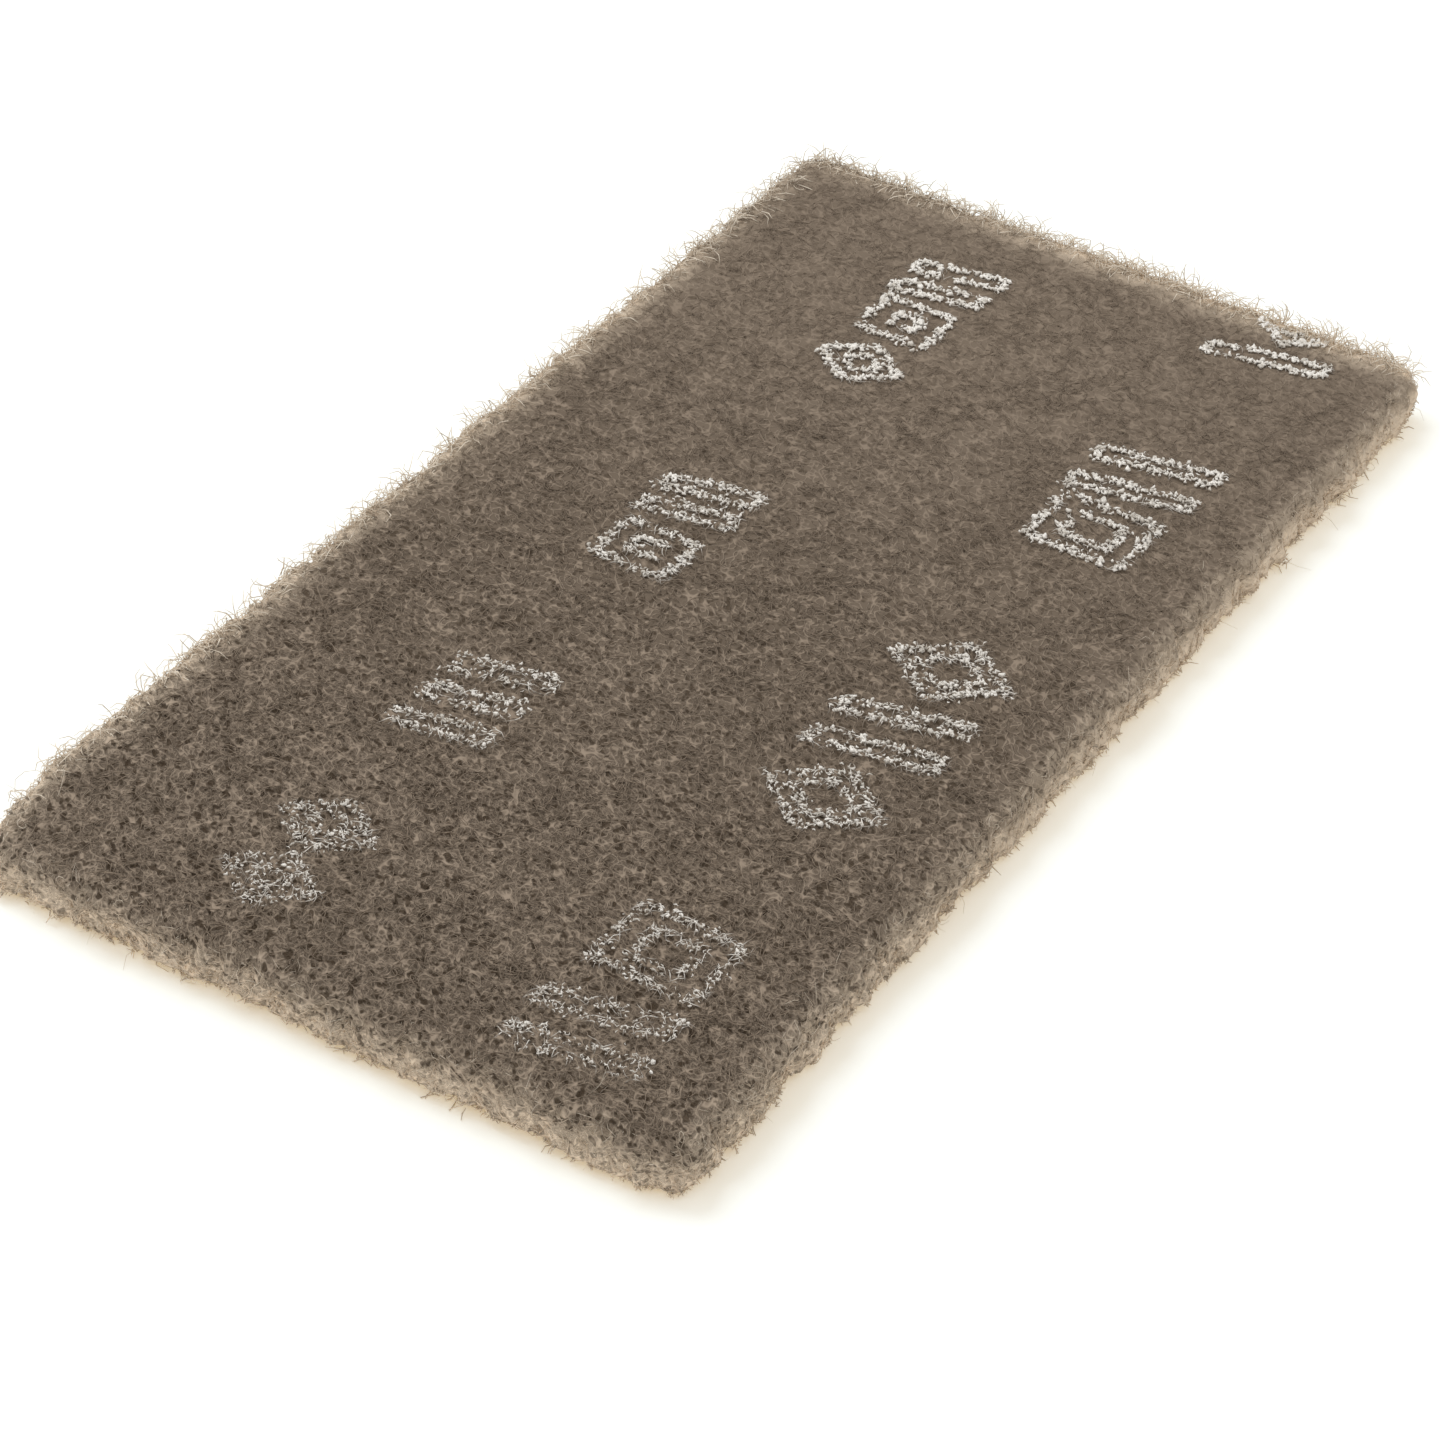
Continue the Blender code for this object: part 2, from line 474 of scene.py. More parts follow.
def coated_fibre():
    """Darker in thick resin, with painted shade low down and over the pits, and bare at the cut."""
    web, colours = settings()
    material, tree, shader = new_material("coated_fibre")
    place = object_place(tree)
    coat = remap(tree, noise(tree, place, 1.6 * MM, 2, 2.0), 0.36, 0.64)
    woven = tangle(tree, web)
    # Light: each fibre's tone and the painted shade along it, its resin and the broad curls
    light = maths(tree, "SUBTRACT", along_fibre(tree, "shade"), 0.6)
    light = plus(tree, times(tree, light, woven["Nearness"]), 0.6)
    light = times(tree, light, 0.6)
    for pattern, share in ((coat, 0.1), (woven["Curls"], 0.4)):
        light = plus(tree, light, times(tree, pattern, share))
    coated = mix(tree, light, colours.fibre_dark, colours.fibre)
    cut = mix(tree, light, dimmed(colours.cut, 0.6), colours.cut)
    edge, bare = cut_mask(tree, web, colours), along_fibre(tree, "bare")
    # Stray ends are painted near white for the light that shines through them
    stray = mix(tree, light, dimmed(colours.stray, 0.8), colours.stray)
    colour = mix(tree, bare, mix(tree, edge, coated, cut), stray)
    # Painted shade of the pits falls on low, dark fibres, and hardly on the high ones
    low = remap(tree, along_fibre(tree, "shade"), 0.1, 0.6, 0.9, 0.1)
    coated_share = remap(tree, maths(tree, "MAXIMUM", edge, bare), 0.0, 1.0, 1.0, 0.45)
    pit_shade = times(tree, times(tree, woven["Pits"], coated_share), low)
    colour = mix(tree, pit_shade, colour, colours.depth)
    flecks = remap(tree, noise(tree, place, 0.55 * MM, 1, 6.0), 0.37, 0.52, 0.25, 1.0)
    inked = times(tree, along_fibre(tree, "ink"), flecks)
    feed(tree, shader, {
        "Base Color": mix(tree, inked, colour, colours.ink),
        "Roughness": remap(tree, coat, 0.0, 1.0, 0.85, 0.6),
        "Specular IOR Level": DULL,
    })
    return material


def stamped_ink():
    """Ink that lies thick on the highest fibres and thins out where it sank in."""
    colours = settings()[1]
    material, tree, shader = new_material("stamped_ink")
    place = object_place(tree)
    patch = remap(tree, noise(tree, place, 1.8 * MM, 2, 5.0), 0.34, 0.52)
    thick = times(tree, patch, along_fibre(tree, "ink"))
    feed(tree, shader, {
        "Base Color": mix(tree, thick, colours.ink_thin, colours.ink),
        "Roughness": remap(tree, thick, 0.0, 1.0, 0.8, 0.5),
    })
    return material


def shared(make):
    """The material of this maker, which is made once and then found again under its name."""
    return bpy.data.materials.get(make.__name__) or make()


# Fibres


def unit(vectors):
    return vectors / np.maximum(np.linalg.norm(vectors, axis=-1, keepdims=True), 1e-12)


def nearest(points):
    """The skin's nearest place to each point, and its normal there."""
    found = [WebSkin.tree.find_nearest(point)[:2] for point in points.tolist()]
    return np.array([f[0] for f in found]), np.array([f[1] for f in found])


def scatter(rng, count, wanted):
    """Places spread over the skin as thickly as wanted says, from its normals and middles."""
    corners, normals, areas = WebSkin.faces
    share = areas * wanted(normals, corners.mean(1))
    picked = rng.choice(len(areas), count, p=share / share.sum())
    a, b = rng.random((2, count, 1))
    a, b = np.where(a + b > 1, 1 - a, a), np.where(a + b > 1, 1 - b, b)
    first, second, third = corners[picked].transpose(1, 0, 2)
    return first + a * (second - first) + b * (third - first)


def wander(rng, count, strides, spread, hold):
    """For each fibre and stride a number that drifts about zero, with hold of its last value."""
    steps = np.empty((count, strides))
    steps[:, 0] = rng.normal(0, spread, count)
    for i in range(1, strides):
        fresh = rng.normal(0, spread, count) * math.sqrt(1 - hold * hold)
        steps[:, i] = hold * steps[:, i - 1] + fresh
    return steps


def flattened(headings, up):
    """Headings without what runs up or down, as unit vectors."""
    return unit(headings - (headings * up).sum(1, keepdims=True) * up)


def walk(starts, headings, stride, turns):
    """Paths over the skin that turn at each stride, with the skin's normal at every point."""
    here, up = nearest(starts)
    headings = flattened(headings, up)
    path, ups = [here], [up]
    for turn in turns.T[:, :, None]:
        headings = np.cos(turn) * headings + np.sin(turn) * np.cross(up, headings)
        here, up = nearest(here + stride * headings)
        headings = flattened(headings, up)
        path.append(here)
        ups.append(up)
    return np.stack(path, 1), np.stack(ups, 1)


def bundle(path, ups, thickness, shade=0.5, bare=0.0, ink=0.0):
    """Like fibres: their paths, the way up at each point, and how each point looks."""
    at_points = path.shape[:2]
    looks = {"shade": shade, "bare": bare, "ink": ink}
    looks = {name: np.broadcast_to(look, at_points) for name, look in looks.items()}
    return path, ups, np.broadcast_to(thickness, at_points), looks


def tubes(path, ups, thickness):
    """Corners and triangles of one closed, tapered tube along each path."""
    count, rings = path.shape[:2]
    ahead = unit(np.gradient(path, axis=1))
    side = unit(np.cross(ahead, ups))
    over = np.cross(side, ahead)
    angles = 2 * np.pi * (np.arange(FIBRE_SIDES) + 0.75) / FIBRE_SIDES
    across = np.cos(angles)[:, None] * side[:, :, None]
    upwards = np.sin(angles)[:, None] * over[:, :, None]
    taper = 1 - 0.5 * np.linspace(-1, 1, rings) ** 6
    corners = path[:, :, None] + (thickness / 2 * taper)[:, :, None, None] * (across + upwards)
    index = np.arange(count * rings * FIBRE_SIDES).reshape(count, rings, FIBRE_SIDES)
    near, far = index[:, :-1], index[:, 1:]
    near_next, far_next = np.roll(near, -1, 2), np.roll(far, -1, 2)
    walls = np.stack([near, far, far_next, near, far_next, near_next], 3)
    caps = np.concatenate([index[:, 0], index[:, -1, ::-1]])
    return corners.reshape(-1, 3), np.concatenate([walls.reshape(-1, 3), caps])


def triangles_each(strides):
    return 2 * FIBRE_SIDES * strides + 2 * (FIBRE_SIDES - 2)


def fibre_piece(name, bundles, material):
    """One mesh of many fibres, which keeps their looks at its points."""
    corners, faces, looks = [], [], {}
    start = 0
    for path, ups, thickness, bundle_looks in bundles:
        places, triangles = tubes(path, ups, thickness)
        corners.append(places)
        faces.append(triangles + start)
        start += len(places)
        for look, values in bundle_looks.items():
            looks.setdefault(look, []).append(np.repeat(values.ravel(), FIBRE_SIDES))
    corners, faces = np.concatenate(corners), np.concatenate(faces)
    lowest = corners[:, 2].min()
    if lowest < 0:
        raise RuntimeError(f"{name} reaches {lowest} m, which is below the floor")
    mesh = bpy.data.meshes.new(name)
    mesh.from_pydata(corners, [], faces.tolist())
    for look, values in looks.items():
        kept = mesh.attributes.new(look, "FLOAT", "POINT")
        kept.data.foreach_set("value", np.concatenate(values).astype(np.float32))
    lay_bake_map(mesh, corners)
    piece = bpy.data.objects.new(name, mesh)
    bpy.context.scene.collection.objects.link(piece)
    on_pad(piece, material)


def lay_bake_map(mesh, places):
    """A map seen from above, which height shifts a little so that walls have width on it too."""
    of_corner = np.empty(len(mesh.loops), np.int32)
    mesh.loops.foreach_get("vertex_index", of_corner)
    x, y, z = places[of_corner].T
    flat = np.stack([x + 0.4 * z, y + 0.4 * z], 1)
    low, high = flat.min(0), flat.max(0)
    layer = mesh.uv_layers.new(name=BAKE_MAP)
    layer.uv.foreach_set("vector", ((flat - low) / (high - low)).astype(np.float32).ravel())


class WebSkin:
    """The slab's swells without its hollows: what the fibres are laid on."""

    tree = None
    faces = None

    @classmethod
    def keep(cls, mesh):
        mesh.calc_loop_triangles()
        places = np.array([vertex.co for vertex in mesh.vertices])
        corners = np.array([triangle.vertices for triangle in mesh.loop_triangles])
        cls.tree = BVHTree.FromPolygons(places.tolist(), corners.tolist())
        first, second, third = places[corners].transpose(1, 0, 2)
        crossed = np.cross(second - first, third - first)
        cls.faces = places[corners], unit(crossed), np.linalg.norm(crossed, axis=1) / 2


def above_floor(path, thickness):
    path[:, :, 2] = np.maximum(path[:, :, 2], 0.6 * thickness)
    return path


def looseness(along):
    """How far loops stand up at a place along the pad: less towards the far end."""
    return 0.7 - 0.3 * np.clip(2 * along / CAD_SIZE.y, -0.7, 1)


def skin_fibres(rng, triangles, fibres, wanted, crest, dive, steep=1.0, marks=None):
    """Curled fibres that loop up to crest and go down to dive as they run over the skin.

    Their two ends lie low, and they are finer towards the far end. On a wall, steep says how far
    they stray from running along it. Where marks are given, the fibres close to one are inked.
    """
    count = triangles // triangles_each(fibres.strides)
    starts = scatter(rng, count, wanted)
    turns = steep * wander(rng, count, fibres.strides, fibres.stride / fibres.curl_radius, 0.5)
    along, across = rng.normal(size=(2, count))
    along = DRAWN_OUT * along
    x = along * math.cos(LAY) - across * math.sin(LAY)
    y = along * math.sin(LAY) + across * math.cos(LAY)
    headings = np.stack([x, y, steep * rng.normal(size=count)], 1)
    path, ups = walk(starts, headings, fibres.stride, turns)
    along = fibres.stride * np.arange(fibres.strides + 1)
    wave = rng.uniform(4 * MM, 9 * MM, (count, 1))
    phase = rng.uniform(0, 2 * np.pi, (count, 1))
    rise = 0.5 + 0.5 * np.sin(2 * np.pi * along / wave + phase)
    rise[:, (0, -1)] *= 0.2
    highest = crest * rng.uniform(0.45, 1.0, (count, 1))
    height = looseness(path[:, :, 1]) * (-dive + (highest + dive) * rise)
    finer = 1 - 0.4 * np.clip(2 * starts[:, 1:2] / CAD_SIZE.y, 0, 1)
    thickness = fibres.thickness * rng.uniform(0.75, 1.15, (count, 1)) * finer
    # A random tone for each fibre, and painted shade the lower it runs
    shade = np.clip(rng.normal(0.5, 0.18, (count, 1)) + 0.4 * height / crest, 0, 1)
    path = above_floor(path + height[:, :, None] * ups, thickness)
    ink = ink_on(path, height / crest, marks) if marks else 0.0
    return bundle(path, ups, thickness, shade, ink=ink)


def inside_blank(places):
    """How far each place lies inside the sides and the ends of the cut blank."""
    return np.array(CAD_SIZE.xy) / 2 - np.abs(places[:, :2])


def on_top(normals, places):
    return normals[:, 2] > 0.5


def underneath(normals, places):
    return normals[:, 2] < -0.5


def on_walls(normals, places):
    return np.abs(normals[:, 2]) <= 0.85


def in_cut(normals, places):
    """The cut walls, thickest towards the foot."""
    return on_walls(normals, places) * (1 + 2 * (places[:, 2] < CAD_SIZE.z / 3))


def in_fringe(normals, places):
    """The cut walls, thickest at the rim and the foot, and a little of the skin inside the rim."""
    height = places[:, 2] / CAD_SIZE.z
    walls = on_walls(normals, places) * (0.6 + np.clip(3 * height - 2, 0, 1) + (height < 0.25))
    rim = on_top(normals, places) * np.clip(1 - inside_blank(places).min(1) / (4 * MM), 0, 1)
    return walls + 0.6 * rim


def in_far_rim(normals, places):
    """The upper rims to the left and at the far end, where the cut is barest."""
    inside = inside_blank(places)
    high = np.clip(3 * places[:, 2] / CAD_SIZE.z - 2, 0, 1)
    far = 1 + 1.1 * (inside[:, 1] < inside[:, 0])
    rim = np.clip(1.2 - inside.min(1) / (1.5 * MM), 0, 1)
    return on_far_side(normals, places) * high * rim * far


def at_foot(normals, places):
    """Low on the cut walls."""
    return on_walls(normals, places) * (places[:, 2] < CAD_SIZE.z / 4)


def on_far_side(normals, places):
    """Where the nearest wall is the left or the far one, whose rims are barest."""
    x, y = places[:, 0] / CAD_SIZE.x, places[:, 1] / CAD_SIZE.x
    longer = CAD_SIZE.y / CAD_SIZE.x / 2
    return np.minimum(0.5 + x, longer - y) < np.minimum(0.5 - x, longer + y)


def raggedness(places, depth):
    """How far the ends reach at each place, where soft noise gathers the cut into clumps."""
    pitch = 1.7 * MM
    lumps = np.array([soft_noise.noise(Vector(place) / pitch) for place in places.tolist()])
    return np.clip(1 + depth * (3 * lumps - 0.5), 0, 2)


def frayed_ends(rng, starts, reach, strides, thickness, curl, pale, clump=1, aim=1.0):
    """Cut fibres that leave the web at starts and curl away, with clump of them side by side.

    With no aim they lie any way against the cut, as felted stubs.
    """
    jitter = 0.25 * MM
    starts = np.repeat(starts, clump, 0)
    count = len(starts)
    here, out = nearest(starts + rng.normal(0, jitter, (count, 3)))
    leaning = np.repeat(rng.normal(0, 0.5, (count // clump, 3)), clump, 0)
    heading = unit(aim * out + leaning + rng.normal(0, 0.25, (count, 3)))
    bared = np.where(on_far_side(out, here), 1.0, np.clip(1.4 - here[:, 2] / CAD_SIZE.z, 0.5, 1.0))
    here = here - (aim * ROOT_DEPTH + (1 - aim) * reach[:, None] / 2) * heading
    bend = unit(np.cross(heading, rng.normal(size=(count, 3))))
    path = [here]
    for turn in rng.normal(curl, curl / 3, (strides, count, 1)):
        heading = np.cos(turn) * heading + np.sin(turn) * np.cross(bend, heading)
        here = here + (reach / strides)[:, None] * heading
        path.append(here)
    path = above_floor(np.stack(path, 1), thickness)
    shade = np.clip(rng.normal(pale, 0.2 + 0.1 * (1 - aim), (count, 1)), 0, 1)
    bare = np.clip(np.linspace(0.4, 1.5, strides + 1) - 0.4 * rng.random((count, 1)), 0, 1)
    bare = aim * bared[:, None] * bare
    return bundle(path, np.repeat(bend[:, None], strides + 1, 1), thickness, shade, bare)


# Operators


class PAD_OT_packed_web(bpy.types.Operator):
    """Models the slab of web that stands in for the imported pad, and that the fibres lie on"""

    bl_idname = "pad.packed_web"
    bl_label = "Packed Web"

    def execute(self, context):
        web = context.scene.pad_web
        deselect_all()
        bottom = web.under_skin
        top = web.thickness - web.loose_skin
        middle = (CAD_LOW + CAD_HIGH) / 2
        more = 2 * web.spring + web.slack
        bpy.ops.mesh.primitive_cube_add(
            size=1,
            location=(middle.x - web.slack / 2, middle.y + web.slack / 2, (bottom + top) / 2),
            scale=(web.width + more, web.length + more, top - bottom),
        )
        slab = context.active_object
        slab.name = slab.data.name = "packed_web"
        bpy.ops.object.transform_apply(location=True, rotation=True, scale=True)
        near = 0.1 * MM
        self.round_edges(slab, lambda a, b: abs(a.z - b.z) > MM, web.corner_radius, 8)
        self.round_edges(slab, lambda a, b: min(a.z, b.z) > top - near, web.top_rim, 5)
        self.round_edges(slab, lambda a, b: max(a.z, b.z) < bottom + near, web.under_rim, 4)
        apply_modifier(slab, "REMESH", mode="VOXEL", voxel_size=web.cell, use_smooth_shade=True)
        self.wear_corner(slab, web)
        self.tear_walls(slab, web)
        self.displace(slab, "swells", web.swell_pitch, web.swell_depth)
        WebSkin.keep(slab.data)
        self.displace(slab, "hollows", web.hollow_pitch, web.hollow_depth, 0.7)
        lowest = web.under_skin / 3
        for vertex in slab.data.vertices:
            vertex.co.z = max(vertex.co.z, lowest)
        on_pad(slab, shared(packed_web))
        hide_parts(CAD_NODE)
        return {"FINISHED"}

    @staticmethod
    def round_edges(slab, wanted, radius, segments):
        """Bevels the edges whose two ends wanted keeps."""
        bpy.ops.object.mode_set(mode="EDIT")
        bpy.ops.mesh.select_mode(type="EDGE")
        bpy.ops.mesh.select_all(action="DESELECT")
        bpy.ops.object.mode_set(mode="OBJECT")
        places = [vertex.co.copy() for vertex in slab.data.vertices]
        for edge in slab.data.edges:
            edge.select = wanted(*(places[end] for end in edge.vertices))
        bpy.ops.object.mode_set(mode="EDIT")
        bpy.ops.mesh.bevel(offset=radius, segments=segments, affect="EDGES")
        bpy.ops.object.mode_set(mode="OBJECT")

    @staticmethod
    def wear_corner(slab, web):
        """Presses the near left corner down, the more the nearer and the higher a point lies."""
        for vertex in slab.data.vertices:
            away = (vertex.co.xy - CAD_LOW.xy).length / web.worn_reach
            worn = max(0.0, 1 - away) ** 1.5 * vertex.co.z / web.thickness
            vertex.co.x += web.worn_lean * worn
            vertex.co.z -= web.worn_sink * worn

    @staticmethod
    def tear_walls(slab, web):
        """Pulls the cut walls into upright lumps, and spreads their foot a little."""
        for vertex in slab.data.vertices:
            outward = Vector((vertex.normal.x, vertex.normal.y, 0.0))
            if outward.length < 0.4:
                continue
            at = Vector((vertex.co.x, vertex.co.y, vertex.co.z / 2)) / web.rag_pitch
            foot = 0.3 * MM * max(0.0, 1 - vertex.co.z / web.cell)
            vertex.co += outward * (web.rag_depth * soft_noise.noise(at) + foot)

    @staticmethod
    def displace(slab, name, pitch, depth, middle=0.5):
        """Moves the skin in and out by soft noise. Where the noise is at middle, it stays."""
        texture = bpy.data.textures.new(name, "CLOUDS")
        texture.noise_scale = pitch
        texture.noise_depth = 1
        values = {"texture_coords": "LOCAL", "strength": depth, "mid_level": middle}
        apply_modifier(slab, "DISPLACE", texture=texture, **values)


class PAD_OT_skin_fibres(bpy.types.Operator):
    """Lays the curled fibres of the upper skin"""

    bl_idname = "pad.skin_fibres"
    bl_label = "Upper Fibres"

    def execute(self, context):
        fibres, printed = context.scene.pad_fibres, context.scene.pad_print
        rng = np.random.default_rng(fibres.seed)
        material = shared(coated_fibre)
        marks = mark_tree(printed)
        for number in range(1, fibres.skin_pieces + 1):
            laid = skin_fibres(
                rng, fibres.piece_triangles, fibres, on_top, fibres.crest, fibres.dive, marks=marks
            )
            fibre_piece(f"upper_fibres_{number}", [laid], material)
        return {"FINISHED"}


# Straight parts in each end of a tuft
TUFT_STRIDES = 9

# Tufts that stand out of the cut: where (across and along, in mm), how many ends and how far
TUFTS = (
    (57.5, 0.0, 6, 3.5),
    (57.5, 31.0, 6, 3.5),
    (56.0, -113.5, 5, 3.5),
    (-34.0, -115.0, 4, 2.0),
    (-57.5, -99.0, 8, 12.0),
    (-57.5, -104.0, 9, 12.0),
    (-55.0, -109.0, 7, 8.0),
    (-57.5, -20.0, 4, 3.5),
    (-57.5, 81.0, 5, 3.5),
    (-20.0, 115.0, 6, 3.5),
    (31.0, 115.0, 5, 3.5),
)


class PAD_OT_edge_fibres(bpy.types.Operator):
    """Lays fibres on the cut walls, and frays them into a fringe with a few tufts"""

    bl_idname = "pad.edge_fibres"
    bl_label = "Cut Edge Fibres"

    def execute(self, context):
        web, fibres = context.scene.pad_web, context.scene.pad_fibres
        rng = np.random.default_rng(fibres.seed + 1)
        material = shared(coated_fibre)
        laid = skin_fibres(
            rng, fibres.wall_triangles, fibres, on_walls, fibres.crest / 2, fibres.dive, steep=0.4
        )
        fibre_piece("wall_fibres", [laid], material)

        def fray(wanted, count, clump=1, strides=2, spread=1.0, thick=1.1, ragged=1.0, **looks):
            """Ends on the part of the cut that wanted keeps, spread times the usual length.

            Over the left and the far rim they grow longer towards the far end.
            """
            starts = scatter(rng, count // clump, wanted)
            if wanted is at_foot:
                starts[:, 2] = rng.uniform(0.1 * MM, 0.9 * MM, len(starts))
            lengths = spread * rng.gamma(1.5, fibres.fringe / 1.5, len(starts) * clump)
            lengths = lengths * np.repeat(raggedness(starts, ragged), clump)
            if wanted is in_far_rim:
                farther = np.clip(0.95 + 0.8 * starts[:, 1] / CAD_SIZE.y, 0.5, 1.05)
                lengths = lengths * np.repeat(farther, clump)
            reach = ROOT_DEPTH + SHORTEST_END + np.minimum(lengths, LONGEST_END)
            thickness = fibres.fringe_thickness * thick
            return frayed_ends(rng, starts, reach, strides, thickness, clump=clump, **looks)

        felted, loose = {"curl": 0.9, "pale": 0.5}, {"clump": 2, "ragged": 0.3}
        knots = fray(in_cut, fibres.knots, clump=2, spread=0.5, thick=3.2, aim=0.0, **felted)
        foot = fray(at_foot, fibres.foot, clump=3, spread=0.9, thick=2.6, aim=0.25, **felted)
        haze = fray(in_fringe, fibres.haze, clump=5, curl=0.8, pale=0.7)
        fibre_piece("foot_fringe", [knots, foot, haze], material)

        pale_curls = {"spread": 4.4, "thick": 1.8, "curl": 0.75, "pale": 1.0}
        far_haze = fray(in_far_rim, fibres.far_haze, strides=3, **pale_curls, **loose)
        ends = fray(in_fringe, fibres.ends, clump=3, spread=1.2, curl=0.7, pale=0.7)
        curls = fray(in_fringe, fibres.curls, strides=6, spread=2.0, curl=0.8, pale=0.9, **loose)
        tufts = self.tufts(rng, web, fibres)
        fibre_piece("cut_fringe", [far_haze, ends, curls, tufts], material)
        return {"FINISHED"}

    @staticmethod
    def tufts(rng, web, fibres):
        """The ends of all the tufts, gathered about their spots."""
        spots = np.concatenate([[(x, y, far)] * number for x, y, number, far in TUFTS])
        starts = rng.normal(0, 1.1 * MM, (len(spots), 3))
        starts[:, :2] += spots[:, :2] * MM
        starts[:, 2] = rng.uniform(0.3, 1.1, len(spots)) * web.thickness
        reach = spots[:, 2] * MM * rng.uniform(0.6, 1.4, len(spots))
        thickness = fibres.fringe_thickness
        return frayed_ends(rng, starts, reach, TUFT_STRIDES, thickness, curl=0.8, pale=0.9)


class PAD_OT_under_fibres(bpy.types.Operator):
    """Lays the pressed fibres of the underside"""

    bl_idname = "pad.under_fibres"
    bl_label = "Underside Fibres"

    def execute(self, context):
        web, fibres = context.scene.pad_web, context.scene.pad_fibres
        rng = np.random.default_rng(fibres.seed + 2)
        laid = skin_fibres(
            rng, fibres.under_triangles, fibres, underneath, web.under_skin, fibres.dive / 3
        )
        fibre_piece("under_fibres", [laid], shared(coated_fibre))
        return {"FINISHED"}


def bar(height, stroke):
    """A slanted bar, as one closed outline about its middle."""
    lean = 0.22 * height
    x, y = height / 2, stroke / 2
    return [[(-x, -y - lean / 2), (x, -y + lean / 2), (x, y + lean / 2), (-x, y - lean / 2)]]


def framed(outline, stroke):
    """An outline with a second one inside it, a stroke away."""
    reach = max(abs(x) for x, _ in outline)
    inner = 1 - 1.25 * stroke / reach
    return [outline, [(x * inner, y * inner) for x, y in outline]]


def diamond(height, stroke):
    x, y = height / 2, 0.4 * height
    return framed([(-x, 0), (0, -y), (x, 0), (0, y)], stroke)


def block(height, stroke):
    x, y = 0.42 * height, 0.36 * height
    return framed([(-x, -y), (x, -y), (x, y), (-x, y)], stroke)


# The rows of marks: each mark and how far its middle lies along the pad
NARROW_ROW = (
    (diamond, -100), (diamond, -86), (bar, -58), (bar, -50), (bar, -42), (block, -3), (bar, 9),
    (bar, 16), (diamond, 62), (block, 77), (bar, 88), (bar, 95),
)
WIDE_ROW = (
    (bar, -106), (bar, -97), (block, -82), (diamond, -40), (bar, -26), (bar, -17), (diamond, -3),
    (block, 42), (bar, 55), (bar, 64), (bar, 103), (diamond, 116),
)


def stepped(corners, gap):
    """Places a gap apart along the sides of a closed outline."""
    sides = []
    for start, end in zip(corners, np.roll(corners, -1, 0)):
        steps = max(1, round(np.linalg.norm(end - start) / gap))
        sides.append(start + np.arange(steps)[:, None] / steps * (end - start))
    return np.concatenate(sides)


def mark_outlines(printed):
    """The outlines of all the marks, each as places a gap apart."""
    outlines = []
    rows = (
        (NARROW_ROW, printed.narrow_row, printed.narrow_height),
        (WIDE_ROW, printed.wide_row, printed.wide_height),
    )
    for marks, across, height in rows:
        for mark, along in marks:
            for outline in mark(height, printed.stroke):
                corners = np.array(outline) + (across, along * MM)
                outlines.append(stepped(corners, printed.curl_gap))
    return outlines


def mark_tree(printed):
    places = np.concatenate(mark_outlines(printed))
    tree = KDTree(len(places))
    for number, (x, y) in enumerate(places):
        tree.insert((x, y, 0), number)
    tree.balance()
    return tree


def ink_on(path, height, marks):
    """How much ink each point of the fibres took: high ones close to a mark's line took most."""
    reach = 0.9 * MM
    flat = path.reshape(-1, 3) * (1, 1, 0)
    away = np.array([marks.find(place)[2] for place in flat.tolist()]).reshape(path.shape[:2])
    close = np.clip(1.6 - away / reach, 0, 1)
    return close * np.clip(2 * height + 0.2, 0, 1)


# How far inside the blank's sides the stamped marks end
PRINT_MARGIN = 1.5 * MM


class PAD_OT_marks(bpy.types.Operator):
    """Stamps two rows of plain marks, as inked curls of fibre along their outlines"""

    bl_idname = "pad.marks"
    bl_label = "Stamped Marks"

    def execute(self, context):
        printed, fibres = context.scene.pad_print, context.scene.pad_fibres
        rng = np.random.default_rng(printed.seed)
        outlines = mark_outlines(printed)
        patch = np.concatenate([wander(rng, 1, len(line), 1.0, 0.8)[0] for line in outlines])
        places = np.concatenate(outlines)

        # The ink is patchy, and from the far end (0) to the near one (1) more of it is worn off
        worn = 0.5 - places[:, 1] / CAD_SIZE.y
        places = places + rng.normal(0, printed.stray, places.shape) * (0.8 + 0.6 * worn[:, None])
        edge = np.array(CAD_SIZE.xy) / 2 - PRINT_MARGIN
        kept = (np.abs(places) < edge).all(1) & (patch > 0.9 * worn - 1.2)
        places, worn, patch = places[kept], worn[kept, None], patch[kept, None]

        # Each curl is a short fibre of two straight parts, which lies a little over the skin
        count, strides = len(places), 2
        starts = np.concatenate([places, np.full((count, 1), CAD_HIGH.z)], 1)
        turns = rng.normal(1.1, 0.4, (count, strides)) * rng.choice((-1, 1), (count, 1))
        headings = rng.normal(size=(count, 3))
        stride = printed.curl_radius * rng.uniform(0.5, 1.4, (count, 1)) * (1.15 - 0.4 * worn)
        path, ups = walk(starts, headings, stride, turns)
        height = looseness(places[:, 1:]) * rng.uniform(0.4, 1.05, (count, 1))
        height = fibres.crest * (height + 0.05 * rng.normal(size=(count, strides + 1)))
        path = path + height[:, :, None] * ups
        ink = 1.0 + 0.3 * patch - 0.35 * worn + rng.normal(0, 0.35, (count, 1))
        ink = np.clip(ink + rng.normal(0, 0.25, (count, strides + 1)), 0, 1)
        bold = printed.curl_thickness * (2.0 - 1.2 * worn)
        thickness = bold * rng.lognormal(-0.15, 0.4, (count, 1))
        inked = bundle(path, ups, thickness, ink=ink)
        fibre_piece("stamped_marks", [inked], shared(stamped_ink))
        return {"FINISHED"}


